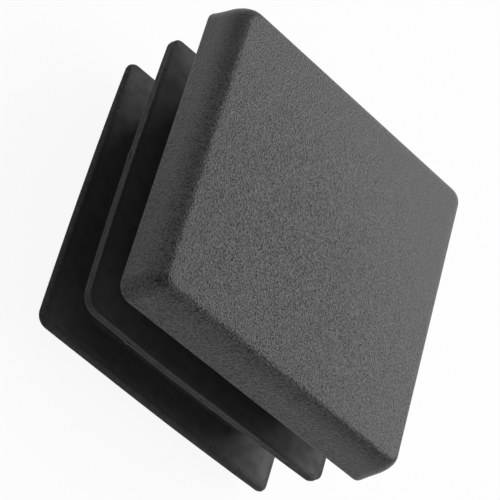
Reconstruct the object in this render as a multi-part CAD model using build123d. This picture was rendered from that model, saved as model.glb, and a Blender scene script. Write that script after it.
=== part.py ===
from build123d import *
import os
from math import radians, tan

# Square end cap for a square metal tube: one moulded piece of black polyethylene.
# Units are millimetres. +Z is the outward normal of the outer face, and the origin is the centre of
# the shoulder, the flat underside of the head that rests on the end of the tube. The head is above
# it. The fins and the hollow core, which go into the tube, are below it.

# head
headWidth = 25.0
headHeight = 3.9
headCornerRadius = 1.35
headSideDraft = 1.3
outerEdgeRadius = 1.15
shoulderEdgeRadius = 0.25

# fins: setback of each tip from the head's side, thickness at the tip, and heights between faces
nearFinSetback = 0.5
nearFinThickness = 0.68
farFinSetback = 0.72
farFinThickness = 0.52
shoulderToNearFin = 3.7
finPitch = 4.9
finCornerRadius = 1.05
finTipUpperShare = 0.6
finTipDraft = 8.0
finRootRadius = 0.3

# core: its side lies behind the near fin's tip by the reach of that fin
nearFinReach = 3.0
coreBeyondFarFin = 1.88
coreCornerRadius = 2.0
coreWall = 1.4
coreRimChamfer = 0.35
crownThickness = 2.0
cavityDraft = 0.6
cavityCeilingRadius = 0.5

# sizes that follow from the ones above
headBaseWidth = headWidth + 2 * shoulderEdgeRadius * tan(radians(headSideDraft))
nearFinWidth = headWidth - 2 * nearFinSetback
farFinWidth = headWidth - 2 * farFinSetback
nearFinDepth = shoulderToNearFin
farFinDepth = nearFinDepth + finPitch
coreWidth = nearFinWidth - 2 * nearFinReach
coreDepth = farFinDepth + farFinThickness + coreBeyondFarFin
coreOverlap = headHeight - crownThickness
cavityWidth = coreWidth - 2 * coreWall
cavityCornerRadius = coreCornerRadius - 0.5 * coreWall
cavityHeight = coreDepth + headHeight - crownThickness
touch = 0.01


def roundedSquare(width, radius, height):
    # Returns a face: a square with rounded corners, level at the given height.
    return Plane.XY.offset(height) * RectangleRounded(width, width, radius)


def makeHead():
    # The head: drafted sides, a wide rounding around the outer face and a small one at the shoulder.
    block = extrude(roundedSquare(headBaseWidth, headCornerRadius, 0), headHeight, taper=headSideDraft)
    top = block.faces().sort_by(Axis.Z)[-1]
    block = fillet(top.edges(), outerEdgeRadius)
    bottom = block.faces().sort_by(Axis.Z)[0]
    return fillet(bottom.edges(), shoulderEdgeRadius)


def makeFin(width, thickness, depth):
    # A flat square fin whose tip falls back slightly above and below the mould's parting line.
    upper = thickness * finTipUpperShare
    lower = thickness - upper
    parting = roundedSquare(width, finCornerRadius, -depth - upper)
    return extrude(parting, upper, taper=finTipDraft) + extrude(parting, -lower, taper=finTipDraft)


def makeCore():
    # The solid outside of the core, from inside the head down to its chamfered rim.
    core = extrude(roundedSquare(coreWidth, coreCornerRadius, coreOverlap), -coreOverlap - coreDepth)
    rim = core.faces().sort_by(Axis.Z)[0]
    return chamfer(rim.edges(), coreRimChamfer)


def makeCavity():
    # The space inside the core, narrowing slightly towards its rounded ceiling under the outer face.
    cavity = extrude(roundedSquare(cavityWidth, cavityCornerRadius, -coreDepth), cavityHeight, taper=cavityDraft)
    ceiling = cavity.faces().sort_by(Axis.Z)[-1]
    return fillet(ceiling.edges(), cavityCeilingRadius)


def rootEdges(body, levels):
    # The edges where the core meets a flat face at one of the given heights.
    found = []
    for edge in body.edges():
        box = edge.bounding_box()
        level = any(abs(box.min.Z - z) < touch and abs(box.max.Z - z) < touch for z in levels)
        reach = max(abs(box.min.X), abs(box.max.X), abs(box.min.Y), abs(box.max.Y))
        if level and reach < coreWidth / 2 + touch and edge.length > 1.0:
            found.append(edge)
    return found


body = makeHead() + makeCore()
body += makeFin(nearFinWidth, nearFinThickness, nearFinDepth)
body += makeFin(farFinWidth, farFinThickness, farFinDepth)
rootLevels = [
    0.0,
    -nearFinDepth,
    -nearFinDepth - nearFinThickness,
    -farFinDepth,
    -farFinDepth - farFinThickness,
]
body = fillet(rootEdges(body, rootLevels), finRootRadius)
body -= makeCavity()

endCap = body.solids()[0]
os.makedirs("parts", exist_ok=True)
export_step(endCap, "parts/end_cap.step")
print("end_cap", "volume", round(endCap.volume, 1), "faces", len(endCap.faces()), "solids", len(body.solids()))
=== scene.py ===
import math

import bpy
import bmesh
from mathutils import Matrix, Vector, noise


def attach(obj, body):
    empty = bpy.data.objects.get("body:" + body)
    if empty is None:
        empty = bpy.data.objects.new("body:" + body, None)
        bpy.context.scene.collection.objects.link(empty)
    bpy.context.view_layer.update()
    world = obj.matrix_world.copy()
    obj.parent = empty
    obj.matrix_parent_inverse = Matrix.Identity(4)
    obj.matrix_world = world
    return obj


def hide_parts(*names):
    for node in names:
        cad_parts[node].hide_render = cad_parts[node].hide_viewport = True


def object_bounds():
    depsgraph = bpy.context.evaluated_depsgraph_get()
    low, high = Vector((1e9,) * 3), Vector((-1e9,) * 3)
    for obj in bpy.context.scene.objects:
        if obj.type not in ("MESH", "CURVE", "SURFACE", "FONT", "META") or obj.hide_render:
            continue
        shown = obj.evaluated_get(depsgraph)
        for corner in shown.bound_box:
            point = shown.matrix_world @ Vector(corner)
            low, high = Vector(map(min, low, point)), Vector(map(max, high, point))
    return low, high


# A square end cap for a square tube, standing on the rim of its core with the outer face upwards.
# The cap's own lengths are millimetres. Those of the plastics, the studio and the camera are metres.

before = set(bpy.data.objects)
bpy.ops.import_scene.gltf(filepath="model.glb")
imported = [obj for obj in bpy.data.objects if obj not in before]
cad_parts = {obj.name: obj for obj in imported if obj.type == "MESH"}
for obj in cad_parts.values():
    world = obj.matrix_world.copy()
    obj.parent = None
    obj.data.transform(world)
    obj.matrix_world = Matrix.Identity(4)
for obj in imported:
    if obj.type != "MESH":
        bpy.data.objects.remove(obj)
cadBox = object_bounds()
mm = 0.001


# outline and section
ring = {
    "perSide": 96,            # steps along each straight side
    "perCorner": 10,          # steps round each corner
    "leastCorner": 0.015,     # no corner is sharper than this
    "sharpEdge": 40,          # degrees, edges that turn more than this shade sharp
    "slack": 0.01,            # takes up rounding where a ring's height is compared with a fin's
}


def allFour(value):
    # One number stands for all four sides or corners
    return value if isinstance(value, tuple) else (value,) * 4


def ringPoints(half, corners, z, bow=0.0):
    # One rounded square, anticlockwise, starting on the +X side. half and corners are one number or
    # four, because the moulded ones are not all alike: the sides in the order +X, +Y, -X, -Y, and
    # the corners in the order +X+Y, -X+Y, -X-Y, +X-Y. bow pushes out the middle of each side.
    halves = allFour(half)
    corners = [max(c, ring["leastCorner"]) for c in allFour(corners)]
    points = []
    for quarter in range(4):
        turn = quarter * math.pi / 2
        c, s = math.cos(turn), math.sin(turn)
        out, corner = halves[quarter], corners[quarter]
        start = corners[quarter - 1] - halves[quarter - 1]
        flat = halves[(quarter + 1) % 4] - corner
        local = []
        for i in range(ring["perSide"]):
            t = start + (flat - start) * i / ring["perSide"]
            local.append((out + bow * (1 - (t / out) ** 2), t))
        r = corner + bow * (1 - (flat / out) ** 2)
        for i in range(ring["perCorner"]):
            a = math.pi / 2 * i / ring["perCorner"]
            local.append((out - corner + r * math.cos(a), flat + r * math.sin(a)))
        for x, y in local:
            points.append((x * c - y * s, x * s + y * c, z))
    return points


head = {
    "half": 12.5055,
    "height": 3.9,
    "corners": (1.30, 0.85, 1.15, 0.92),
    "cornerSwell": (0.20, 1.15, 0.25, 0.55),     # how much rounder the corners are at the outer face
    "swellPower": 0.6,                           # below 1 the corners round off soon above the shoulder
    "draft": 1.3,                                # degrees
    "faceRounding": (1.13, 1.27, 1.13, 0.80),    # how far the edge rounding reaches in on each side
    "sideRounding": 2.3,                         # and how far it reaches down the sides
    "fullness": 2.3,                             # of the edge rounding: 2 is an ellipse, more is squarer
    "shoulderRounding": 0.25,
    "sink": 0.03,                                # the face is a little hollow, where the plastic shrank
    "sinkReach": 11.2,                           # out to here
    "faceRings": 26,
    "faceLeastCorner": 0.05,
    "roundingSteps": 20,
    "wallSteps": 8,
    "shoulderSteps": 6,
    # half and corner of the rings under the shoulder, in to the core
    "underRings": ((11.6, 1.32), (10.9, 1.53), (10.2, 1.74), (9.6, 1.92)),
}

# Marks that the mould left on the near fin's tip: place, length along the edge and how far outwards.
# The small ones stay below the parting line. The whole edge is pushed in at the last one.
nearTipMarks = [
    {"place": (-12.0, 0.9), "length": 0.22, "push": 0.09, "whole": False},
    {"place": (-7.4, -12.0), "length": 0.22, "push": 0.10, "whole": False},
    {"place": (1.0, -12.0), "length": 0.22, "push": 0.05, "whole": False},
    {"place": (5.7, -12.0), "length": 0.28, "push": -0.04, "whole": False},
    {"place": (-9.6, -12.6), "length": 2.8, "push": -0.11, "whole": True},
]

fins = [
    {   # near the head
        "half": 11.94,
        "thickness": 0.68,
        "top": -3.70,
        "corners": (1.0, 0.8, 1.45, 0.93),
        "upperEdge": 0.07,                    # rounding of the tip's upper edge
        "bow": 0.168,
        "bend": (0.005, -0.007, -0.001),      # slope along X, slope along Y and twist at the tip
        "shift": (0.01, 0.03),                # how far the tip has crept along X and Y
        "turn": 0.0,                          # and about Z
        "waveSeed": 3.7,
        "marks": nearTipMarks,
    },
    {   # far from it
        "half": 11.738,
        "thickness": 0.52,
        "top": -8.608,
        "corners": (1.0, 0.8, 0.96, 0.65),
        "upperEdge": 0.26,
        "bow": 0.137,
        "bend": (-0.005, 0.001, 0.003),
        "shift": (-0.02, -0.01),
        "turn": -0.004,
        "waveSeed": 9.1,
        "marks": [],
    },
]

finShape = {
    "root": 0.3,                            # fillet where a fin or the head meets the core
    "rootSteps": 4,
    "faceRings": (0.25, 0.5, 0.75, 0.9),    # shares of the way from the fillet to the tip
    "bowFrom": 0.5,                         # the sides bow only beyond this distance from the core
    "upperShare": 0.6,                      # of the thickness lies above the parting line
    "step": 0.025,                          # the upper mould half stands this far inside the lower one
    "stepEdge": 0.8,                        # share of that step which is left at the parting line
    "stepLip": 0.006,                       # the lower one's edge is rounded by this much
    "stepEase": 0.012,                      # height over which the tip settles above and below the line
    "lowerLean": 0.04,                      # how far the tip leans back below the parting line
    "lowerEdge": 0.05,                      # rounding of the tip's lower edge
}

# Thin soft fins are never quite flat
finWave = {
    "flatShare": 0.12,    # of the way to the tip, from the core
    "twistOver": 12,      # the distance at which a fin's twist is given
    "slow": 0.04,         # heights of the ripples at the tip
    "fine": 0.010,
    "slowPerMm": 0.11,
    "finePerMm": 0.5,
    "fineSeed": 2.0,
}

core = {
    "half": 9.0,
    "corner": 2.0,
    "wall": 1.4,
    "bottom": -11.0,
    # the chamfered rim from outside in: inset from the side, how much sharper the corners are, height
    "rim": ((0.0, 0.0, 0.39), (0.03, 0.0, 0.32), (0.32, 0.2, 0.03), (0.39, 0.3, 0.0)),
    "rimEase": 0.05,                      # rounding of the rim's inner edge
    "crown": 2.0,                         # thickness of the head above the cavity
    "draft": 0.6,                         # degrees
    "innerCornerShare": 0.5,              # of the wall comes off the outer corner's rounding
    "ceilingRounding": 0.5,
    "ceilingCornerInset": 0.12,
    "ceilingRings": (0.8, 0.6, 0.4, 0.2),
    "ceilingCornerShare": 0.5,
    "cavitySteps": 10,
    "ceilingSteps": 5,
}


def headCorners(insets, z):
    # Each corner is sharpened by the mean inset of its two sides
    corners = []
    rise = (max(z, 0.0) / head["height"]) ** head["swellPower"]
    for i, (c, extra) in enumerate(zip(head["corners"], head["cornerSwell"])):
        corners.append(c - (insets[i] + insets[(i + 1) % 4]) / 2 + extra * rise)
    return tuple(corners)


def finCorners(fin, share, inset=0.0):
    # share runs from 0 at the core to 1 at the tip
    return tuple(core["corner"] + (c - core["corner"]) * share - inset for c in fin["corners"])


def partingHeight(fin):
    return fin["top"] - fin["thickness"] * finShape["upperShare"]


def headSection():
    # From the middle of the outer face out and down to the shoulder, then in to the core
    rows = []
    tan = math.tan(math.radians(head["draft"]))
    reach, drop, power = head["faceRounding"], head["sideRounding"], 2 / head["fullness"]
    springZ = head["height"] - drop

    def row(insets, z):
        halves = tuple(head["half"] - inset for inset in insets)
        rows.append((halves, headCorners(insets, z), z, "head"))

    faceInsets = tuple(springZ * tan + r for r in reach)
    faceCorners = [max(c, head["faceLeastCorner"]) for c in headCorners(faceInsets, head["height"])]
    for i in range(1, head["faceRings"]):
        k = i / head["faceRings"]
        halves = tuple((head["half"] - inset) * k for inset in faceInsets)
        rows.append((halves, tuple(c * k for c in faceCorners), head["height"], "head"))
    for i in range(head["roundingSteps"] + 1):
        a = math.radians(90 * (1 - i / head["roundingSteps"]))
        share = 1 - math.cos(a) ** power
        row(tuple(springZ * tan + r * share for r in reach), springZ + drop * math.sin(a) ** power)
    s = head["shoulderRounding"]
    for i in range(1, head["wallSteps"] + 1):
        z = springZ - (springZ - s) * i / head["wallSteps"]
        row(allFour(z * tan), z)
    for i in range(1, head["shoulderSteps"] + 1):
        a = math.radians(90 * i / head["shoulderSteps"])
        row(allFour(s * tan + s * (1 - math.cos(a))), s - s * math.sin(a))
    for half, corner in head["underRings"]:
        rows.append((half, corner, 0.0, "smooth"))
    return rows


def rootFillet(z, towards, startsOnFace):
    # A quarter round between a flat face at z and the core's side. towards is +1 where it lies above
    # the face and -1 below
    rows = []
    r = finShape["root"]
    for i in range(finShape["rootSteps"] + 1):
        a = math.radians(90 * i / finShape["rootSteps"])
        out = r * (1 - math.sin(a))
        up = r * (1 - math.cos(a))
        rows.append((core["half"] + out, core["corner"] + out, z + towards * up, "smooth"))
    return rows if startsOnFace else rows[::-1]


def finSection(fin):
    # Out along the upper face, round the tip and back along the lower face
    rows = []
    top, bottom, parting = fin["top"], fin["top"] - fin["thickness"], partingHeight(fin)
    half, upperEdge, lowerEdge = fin["half"], fin["upperEdge"], finShape["lowerEdge"]
    step, ease = finShape["step"], finShape["stepEase"]
    root = core["half"] + finShape["root"]

    def tipRow(inset, z, cornerInset):
        rows.append((half - inset, finCorners(fin, 1, cornerInset), z, "tip"))

    for k in finShape["faceRings"]:
        rows.append((root + (half - upperEdge - root) * k, finCorners(fin, k), top, "smooth"))
    for degrees in range(90, -1, -15):
        a = math.radians(degrees)
        inset = step + upperEdge * (1 - math.cos(a))
        tipRow(inset, top - upperEdge * (1 - math.sin(a)), inset)
    tipRow(step, parting + ease, step)
    tipRow(step * finShape["stepEdge"], parting, step * finShape["stepEdge"])
    tipRow(finShape["stepLip"], parting, 0.0)
    tipRow(0.0, parting - ease, 0.0)
    for degrees in range(0, 91, 30):
        a = math.radians(degrees)
        inset = finShape["lowerLean"] + lowerEdge * (1 - math.cos(a))
        tipRow(inset, bottom + lowerEdge * (1 - math.sin(a)), inset)
    for k in reversed(finShape["faceRings"]):
        rows.append((root + (half - lowerEdge - root) * k, finCorners(fin, k), bottom, "smooth"))
    return rows


def coreSection():
    # Round the rim, up the cavity's wall and in over its ceiling
    rows = []

    def row(half, corner, z):
        rows.append((half, corner, z, "smooth"))

    end, ease, r = core["bottom"], core["rimEase"], core["ceilingRounding"]
    for inset, sharper, height in core["rim"]:
        row(core["half"] - inset, core["corner"] - sharper, end + height)
    inner = core["half"] - core["wall"]
    innerCorner = core["corner"] - core["innerCornerShare"] * core["wall"]
    row(inner + ease, innerCorner + ease, end)
    row(inner, innerCorner, end + ease)
    ceiling = head["height"] - core["crown"]
    tan = math.tan(math.radians(core["draft"]))
    for i in range(1, core["cavitySteps"] + 1):
        z = end + (ceiling - r - end) * i / core["cavitySteps"]
        row(inner - (z - end) * tan, innerCorner - (z - end) * tan, z)
    base = inner - (ceiling - end) * tan
    for i in range(1, core["ceilingSteps"] + 1):
        a = math.radians(90 * i / core["ceilingSteps"])
        inset = r * (1 - math.cos(a))
        corner = innerCorner - core["ceilingCornerInset"] - inset
        row(base - inset, corner, ceiling - r + r * math.sin(a))
    for k in core["ceilingRings"]:
        row(base * k, innerCorner * k * core["ceilingCornerShare"], ceiling)
    return rows


def wholeSection():
    # Rings from the outer face's middle to the cavity's: half, corners, height and zone
    rows = headSection()
    rows += rootFillet(0.0, -1, True)
    for fin in fins:
        rows += rootFillet(fin["top"], 1, False)
        rows += finSection(fin)
        rows += rootFillet(fin["top"] - fin["thickness"], -1, True)
    rows += coreSection()
    return rows


def onFin(fin, z):
    return fin["top"] - fin["thickness"] - ring["slack"] < z < fin["top"] + ring["slack"]


def sideBow(half, z):
    # The fins' sides bow outwards, most at the tip
    for fin in fins:
        if onFin(fin, z) and half > core["half"] + finShape["bowFrom"]:
            share = (half - core["half"]) / (fin["half"] - core["half"])
            return fin["bow"] * share
    return 0.0


def finShift(p, fin):
    # A bend, a creep and a slow ripple that grow towards the tip
    reach = (max(abs(p.x), abs(p.y)) - core["half"]) / (fin["half"] - core["half"])
    if reach <= finWave["flatShare"]:
        return Vector((0, 0, 0))
    alongX, alongY, twist = fin["bend"]
    bend = alongX * p.x + alongY * p.y + twist * p.x * p.y / finWave["twistOver"]
    seed, slow, fine = fin["waveSeed"], finWave["slowPerMm"], finWave["finePerMm"]
    slowWave = noise.noise(Vector((p.x * slow + seed, p.y * slow, seed)))
    fineWave = noise.noise(Vector((p.x * fine, p.y * fine + seed, finWave["fineSeed"])))
    grow = min(reach, 1.0) ** 2
    return Vector((
        (fin["shift"][0] - fin["turn"] * p.y) * grow,
        (fin["shift"][1] + fin["turn"] * p.x) * grow,
        (bend + finWave["slow"] * slowWave + finWave["fine"] * fineWave) * grow,
    ))


def markShift(p, fin):
    # Outwards across the side that the point lies on
    if abs(p.x) > abs(p.y):
        side = Vector((math.copysign(1, p.x), 0, 0))
    else:
        side = Vector((0, math.copysign(1, p.y), 0))
    aboveLine = p.z > partingHeight(fin) - finShape["stepEase"] / 2
    push = 0.0
    for mark in fin["marks"]:
        if aboveLine and not mark["whole"]:
            continue
        away = (Vector((p.x, p.y)) - Vector(mark["place"])).length
        push += mark["push"] * math.exp(-(away / mark["length"]) ** 2)
    return side * push


def moulded(point, zone):
    # Where a point of the plain section ends up on the moulded piece
    x, y, z = point
    p = Vector(point)
    for fin in fins:
        if onFin(fin, z):
            if zone == "tip":
                p += markShift(p, fin)
            p += finShift(p, fin)
    if zone == "head" and z == head["height"]:
        fall = max(0.0, 1 - (max(abs(x), abs(y)) / head["sinkReach"]) ** 2)
        p.z -= head["sink"] * fall
    return p


def buildCap():
    mesh = bpy.data.meshes.new("squareEndCap")
    bm = bmesh.new()
    slots = {"head": 0, "smooth": 1, "tip": 2}
    loops, slotOf = [], []
    for half, corners, z, zone in wholeSection():
        points = ringPoints(half, corners, z, sideBow(half, z))
        loops.append([bm.verts.new(moulded(point, zone) * mm) for point in points])
        slotOf.append(slots[zone])
    count = len(loops[0])
    first = bm.verts.new(Vector((0, 0, (head["height"] - head["sink"]) * mm)))
    last = bm.verts.new(Vector((0, 0, (head["height"] - core["crown"]) * mm)))
    for i in range(count):
        j = (i + 1) % count
        face = bm.faces.new((first, loops[0][i], loops[0][j]))
        face.material_index = slots["head"]
        face = bm.faces.new((last, loops[-1][j], loops[-1][i]))
        face.material_index = slots["smooth"]
    for a in range(len(loops) - 1):
        for i in range(count):
            j = (i + 1) % count
            face = bm.faces.new((loops[a][i], loops[a + 1][i], loops[a + 1][j], loops[a][j]))
            face.material_index = slotOf[a + 1]
    bmesh.ops.recalc_face_normals(bm, faces=bm.faces)
    for face in bm.faces:
        face.smooth = True
    for edge in bm.edges:
        if len(edge.link_faces) == 2 and edge.calc_face_angle(0.0) > math.radians(ring["sharpEdge"]):
            edge.smooth = False
    bm.to_mesh(mesh)
    bm.free()
    cap = bpy.data.objects.new("squareEndCap", mesh)
    bpy.context.scene.collection.objects.link(cap)
    return cap


cap = buildCap()
print("cap mesh:", len(cap.data.polygons), "faces")


# plastics
def newGroup(name, inputs, outputs):
    group = bpy.data.node_groups.new(name, "ShaderNodeTree")
    for label, value in inputs.items():
        socket = group.interface.new_socket(name=label, in_out="INPUT", socket_type="NodeSocketFloat")
        socket.default_value = value
    for label in outputs:
        group.interface.new_socket(name=label, in_out="OUTPUT", socket_type="NodeSocketFloat")
    entry = group.nodes.new("NodeGroupInput")
    leave = group.nodes.new("NodeGroupOutput")
    return group, entry, leave


def mathNode(tree, operation, a, b, clamp=False):
    # a and b are numbers or sockets
    node = tree.nodes.new("ShaderNodeMath")
    node.operation = operation
    node.use_clamp = clamp
    for index, value in enumerate((a, b)):
        if isinstance(value, (int, float)):
            node.inputs[index].default_value = value
        else:
            tree.links.new(value, node.inputs[index])
    return node.outputs[0]


def smoothstep(tree, value, start, end):
    node = tree.nodes.new("ShaderNodeMapRange")
    node.interpolation_type = "SMOOTHSTEP"
    node.inputs["From Min"].default_value = start
    node.inputs["From Max"].default_value = end
    tree.links.new(value, node.inputs["Value"])
    return node.outputs[0]


mould = {
    "pebbleSmoothness": 0.35,
    "domeTop": 0.30,                             # of each pebble
    "domeFall": 0.55,                            # and how far it falls to the pits
    "fineScale": 1.3,                            # the finer noise is this much denser than the pebbles
    "fineStrength": 2.4,
    "fineDetail": 1.0,
    "cloudDetail": 3.0,
    "strength": 1.5,                             # of grain with no wear
    "strongPlace": (-0.007, -0.0085, 0.0039),    # where on the face the grain is strongest
    "wornFrom": 0.004,                           # distances from there over which it wears away
    "wornTo": 0.027,
    "sideTop": 0.0036,                           # heights on the head's sides over which it softens
    "sideBottom": 0.0018,
    "sideWear": 0.15,
    "bumpShare": 0.5,
    "domeShadeAndGlint": 0.9,                             # how much of the pebbles shows in the tone, as painted shade in the pits and painted glints on their tops
    "toneShare": 0.66,
    "paleShare": 0.08,                           # strong grain is a little paler
    "paleFrom": 0.75,
}


def mouldSurfaceGroup():
    # Spark-eroded grain: rounded pebbles with pits between them, broken up by finer noise, over
    # a slow cloudiness from the way the plastic flowed and cooled. The grain is strongest round one
    # place on the face, worn further out and softer on the sides, where the mould draws over it.
    # Its tone paints shade into the pits and glints onto the pebble tops, following the relief.
    group, entry, leave = newGroup(
        "mouldSurface",
        {"Grains per metre": 5000.0, "Clouds per metre": 180.0, "Roughness": 0.5, "Spread": 0.1,
         "Cloudiness": 0.3, "Wear": 0.0},
        ["Height", "Tone", "Roughness"],
    )

    def calc(operation, a, b):
        return mathNode(group, operation, a, b)

    place = group.nodes.new("ShaderNodeTexCoord")
    pebble = group.nodes.new("ShaderNodeTexVoronoi")
    pebble.feature = "SMOOTH_F1"
    pebble.inputs["Smoothness"].default_value = mould["pebbleSmoothness"]
    fine = group.nodes.new("ShaderNodeTexNoise")
    fine.inputs["Detail"].default_value = mould["fineDetail"]
    cloud = group.nodes.new("ShaderNodeTexNoise")
    cloud.inputs["Detail"].default_value = mould["cloudDetail"]
    for node in (pebble, fine, cloud):
        group.links.new(place.outputs["Object"], node.inputs["Vector"])
    grains = entry.outputs["Grains per metre"]
    group.links.new(grains, pebble.inputs["Scale"])
    group.links.new(calc("MULTIPLY", grains, mould["fineScale"]), fine.inputs["Scale"])
    group.links.new(entry.outputs["Clouds per metre"], cloud.inputs["Scale"])

    # wear: kept is how much of the grain is left
    away = group.nodes.new("ShaderNodeVectorMath")
    away.operation = "DISTANCE"
    away.inputs[1].default_value = mould["strongPlace"]
    group.links.new(place.outputs["Object"], away.inputs[0])
    far = smoothstep(group, away.outputs["Value"], mould["wornFrom"], mould["wornTo"])
    parts = group.nodes.new("ShaderNodeSeparateXYZ")
    group.links.new(place.outputs["Object"], parts.inputs[0])
    high = smoothstep(group, parts.outputs["Z"], mould["sideBottom"], mould["sideTop"])
    sideWear = calc("MULTIPLY", calc("SUBTRACT", 1.0, high), mould["sideWear"])
    worn = calc("ADD", calc("MULTIPLY", far, entry.outputs["Wear"]), sideWear)
    kept = calc("SUBTRACT", mould["strength"], calc("MULTIPLY", worn, mould["strength"]))

    # height of the surface
    fall = calc("MULTIPLY", pebble.outputs["Distance"], mould["domeFall"])
    dome = calc("SUBTRACT", mould["domeTop"], fall)
    rough = calc("MULTIPLY", calc("SUBTRACT", fine.outputs[0], 0.5), mould["fineStrength"])
    relief = calc("MULTIPLY", calc("ADD", dome, rough), kept)
    height = calc("ADD", 0.5, calc("MULTIPLY", relief, mould["bumpShare"]))
    group.links.new(height, leave.inputs["Height"])

    # tone, with painted shade in the pits and painted glints on the pebble tops, and roughness
    slow = calc("SUBTRACT", cloud.outputs[0], 0.5)
    # painted shade in the pits and painted glints on the pebble tops, from the same relief as the bump
    pitShadeAndGlint = calc("MULTIPLY", calc("ADD", calc("MULTIPLY", dome, mould["domeShadeAndGlint"]), rough), kept)
    pale = calc("MULTIPLY", calc("SUBTRACT", kept, mould["paleFrom"]), mould["paleShare"])
    tone = calc("ADD", calc("ADD", 0.5, pale), calc("MULTIPLY", pitShadeAndGlint, mould["toneShare"]))
    tone = calc("ADD", tone, calc("MULTIPLY", slow, entry.outputs["Cloudiness"]))
    group.links.new(tone, leave.inputs["Tone"])
    offset = calc("MULTIPLY", calc("SUBTRACT", slow, pitShadeAndGlint), entry.outputs["Spread"])
    group.links.new(calc("ADD", entry.outputs["Roughness"], offset), leave.inputs["Roughness"])
    return group


mouldSurface = mouldSurfaceGroup()


def plastic(name, look):
    material = bpy.data.materials.new(name)
    material.use_nodes = True
    tree = material.node_tree
    shader = tree.nodes["Principled BSDF"]
    surface = tree.nodes.new("ShaderNodeGroup")
    surface.node_tree = mouldSurface
    surface.inputs["Grains per metre"].default_value = look["grains"]
    surface.inputs["Clouds per metre"].default_value = look["clouds"]
    for label in ("Cloudiness", "Roughness", "Spread", "Wear"):
        surface.inputs[label].default_value = look[label.lower()]
    tone = tree.nodes.new("ShaderNodeValToRGB")
    dark, light = tone.color_ramp.elements
    dark.position, dark.color = look["toneFrom"], (*look["dark"], 1)
    light.position, light.color = look["toneTo"], (*look["light"], 1)
    bump = tree.nodes.new("ShaderNodeBump")
    bump.inputs["Strength"].default_value = look["bump"]
    bump.inputs["Distance"].default_value = look["depth"]
    tree.links.new(surface.outputs["Tone"], tone.inputs["Fac"])
    tree.links.new(tone.outputs["Color"], shader.inputs["Base Color"])
    tree.links.new(surface.outputs["Roughness"], shader.inputs["Roughness"])
    tree.links.new(surface.outputs["Height"], bump.inputs["Height"])
    tree.links.new(bump.outputs["Normal"], shader.inputs["Normal"])
    shader.inputs["IOR"].default_value = look["ior"]
    shader.inputs["Specular IOR Level"].default_value = look["specular"]
    return material


# grains and clouds are counted per metre, depth is the bump's
grainedPlastic = {
    # the tone runs from dark to light, with painted shade in the pits and painted glints on the pebble
    # tops
    "dark": (0.002, 0.002, 0.002),
    "light": (0.082, 0.082, 0.085),
    "toneFrom": 0.0,
    "toneTo": 1.0,
    "roughness": 0.40,
    "spread": 0.15,
    "grains": 5700.0,
    "clouds": 750.0,
    "cloudiness": 0.5,
    "wear": 0.72,
    "bump": 1.0,
    "depth": 0.00007,
    "ior": 1.50,
    "specular": 0.35,
}

smoothPlastic = {
    "dark": (0.058, 0.058, 0.059),
    "light": (0.072, 0.072, 0.074),
    "toneFrom": 0.2,
    "toneTo": 0.8,
    "roughness": 0.58,
    "spread": 0.1,
    "grains": 900.0,
    "clouds": 220.0,
    "cloudiness": 0.3,
    "wear": 0.0,
    "bump": 0.4,
    "depth": 0.00002,
    "ior": 1.50,
    "specular": 0.2,
}

# The fins' tips are rubbed matt by the mould's parting faces; their colour, darker than the fins', is
# painted shade
mattTipWithPaintedShade = {
    "dark": (0.049, 0.049, 0.050),
    "light": (0.063, 0.063, 0.065),
    "toneFrom": 0.2,
    "toneTo": 0.8,
    "roughness": 0.55,
    "spread": 0.15,
    "grains": 2600.0,
    "clouds": 300.0,
    "cloudiness": 0.4,
    "wear": 0.0,
    "bump": 0.5,
    "depth": 0.00003,
    "ior": 1.50,
    "specular": 0.14,
}

cap.data.materials.append(plastic("grainedBlackPlastic", grainedPlastic))
cap.data.materials.append(plastic("smoothBlackPlastic", smoothPlastic))
cap.data.materials.append(plastic("finTipShadedBlackPlastic", mattTipWithPaintedShade))
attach(cap, "root")
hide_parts("end_cap")
print("plastics: grained head, smooth fins and core, matt fin tips")


# floor and light
studio = {
    "floorSize": 6.0,
    "floorGap": 0.00002,       # the floor lies this far below the rim, so that the two don't flicker
    "floorColour": (0.86, 0.86, 0.86, 1),
    "whiteShare": 0.92,        # how much of the floor's look is plain white instead of lit colour
    "glossyShare": 0.4,        # and that share's part in reflections, where the shadow has to show
    "worldColour": (0.0, 0.0, 0.0, 1),
    "panelDistance": 0.6,
}

# Square lamps that face the cap. Their angles are degrees
lamps = {
    "highPanel": {"azimuth": 47, "elevation": 66, "size": 0.45, "radiance": 1.55},
    "middlePanel": {"azimuth": 47, "elevation": 40, "size": 0.40, "radiance": 0.35},
    "backPanel": {"azimuth": 47, "elevation": 24, "size": 0.45, "radiance": 2.3},
    "rightPanel": {"azimuth": 5, "elevation": 55, "size": 0.40, "radiance": 3.7},
    "leftPanel": {"azimuth": 125, "elevation": 35, "size": 0.45, "radiance": 1.15},
    "lowLeftPanel": {"azimuth": 140, "elevation": 20, "size": 0.25, "radiance": 0.6},
    "lowRightPanel": {"azimuth": -48, "elevation": 20, "size": 0.25, "radiance": 0.9},
    "lowLamp": {"azimuth": -72, "elevation": 42, "size": 0.05, "radiance": 1.4, "distance": 0.09},
}


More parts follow.
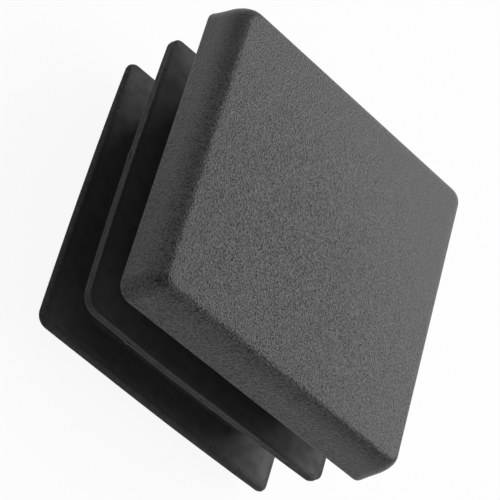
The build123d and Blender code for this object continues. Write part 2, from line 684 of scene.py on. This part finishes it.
def makeFloor():
    half = studio["floorSize"] / 2
    z = cadBox[0][2] - studio["floorGap"]
    mesh = bpy.data.meshes.new("floor")
    corners = [(-half, -half, z), (half, -half, z), (half, half, z), (-half, half, z)]
    mesh.from_pydata(corners, [], [(0, 1, 2, 3)])
    floor = bpy.data.objects.new("floor", mesh)
    bpy.context.scene.collection.objects.link(floor)
    material = bpy.data.materials.new("whiteFloor")
    material.use_nodes = True
    tree = material.node_tree
    tree.nodes.clear()
    out = tree.nodes.new("ShaderNodeOutputMaterial")
    lit = tree.nodes.new("ShaderNodeBsdfDiffuse")
    lit.inputs["Color"].default_value = studio["floorColour"]
    plain = tree.nodes.new("ShaderNodeEmission")
    plain.inputs["Strength"].default_value = 1.0
    path = tree.nodes.new("ShaderNodeLightPath")
    glossy = mathNode(tree, "MULTIPLY", path.outputs["Is Glossy Ray"], studio["glossyShare"])
    seen = mathNode(tree, "ADD", path.outputs["Is Camera Ray"], glossy)
    seen = mathNode(tree, "ADD", seen, path.outputs["Is Transmission Ray"], clamp=True)
    share = mathNode(tree, "MULTIPLY", seen, studio["whiteShare"])
    mix = tree.nodes.new("ShaderNodeMixShader")
    tree.links.new(share, mix.inputs[0])
    tree.links.new(lit.outputs[0], mix.inputs[1])
    tree.links.new(plain.outputs[0], mix.inputs[2])
    tree.links.new(mix.outputs[0], out.inputs["Surface"])
    mesh.materials.append(material)


def addLamp(name, lamp):
    light = bpy.data.lights.new(name, "AREA")
    light.shape = "SQUARE"
    light.size = lamp["size"]
    light.energy = math.pi * lamp["size"] ** 2 * lamp["radiance"]
    obj = bpy.data.objects.new(name, light)
    a, e = math.radians(lamp["azimuth"]), math.radians(lamp["elevation"])
    direction = Vector((math.cos(a) * math.cos(e), math.sin(a) * math.cos(e), math.sin(e)))
    obj.location = direction * lamp.get("distance", studio["panelDistance"])
    obj.rotation_euler = direction.to_track_quat("Z", "Y").to_euler()
    obj.visible_camera = False
    bpy.context.scene.collection.objects.link(obj)


makeFloor()
for name, lamp in lamps.items():
    addLamp(name, lamp)

scene = bpy.context.scene
world = bpy.data.worlds.new("softRoom")
world.use_nodes = True
world.node_tree.nodes["Background"].inputs["Color"].default_value = studio["worldColour"]
scene.world = world
scene.view_settings.view_transform = "Standard"
print("floor, lamps and world set")


# camera
cameraSettings = {
    "place": (-0.08685, -0.093427, 0.108162),
    "right": (0.660549, 0.236889, 0.712431),    # directions of the picture's right and upper edges
    "up": (-0.550544, 0.798013, 0.245105),
    "lens": 170.64,                             # this and the sensor are millimetres
    "sensor": 36.0,
    "nearest": 0.01,
    "farthest": 20.0,
}


def addCamera():
    data = bpy.data.cameras.new("camera")
    data.sensor_width = cameraSettings["sensor"]
    data.lens = cameraSettings["lens"]
    data.clip_start = cameraSettings["nearest"]
    data.clip_end = cameraSettings["farthest"]
    obj = bpy.data.objects.new("camera", data)
    right = Vector(cameraSettings["right"]).normalized()
    up = Vector(cameraSettings["up"])
    up = (up - right * up.dot(right)).normalized()
    back = right.cross(up)
    turn = Matrix((right, up, back)).transposed().to_4x4()
    obj.matrix_world = Matrix.Translation(cameraSettings["place"]) @ turn
    scene.collection.objects.link(obj)
    scene.camera = obj


addCamera()
print("camera set")
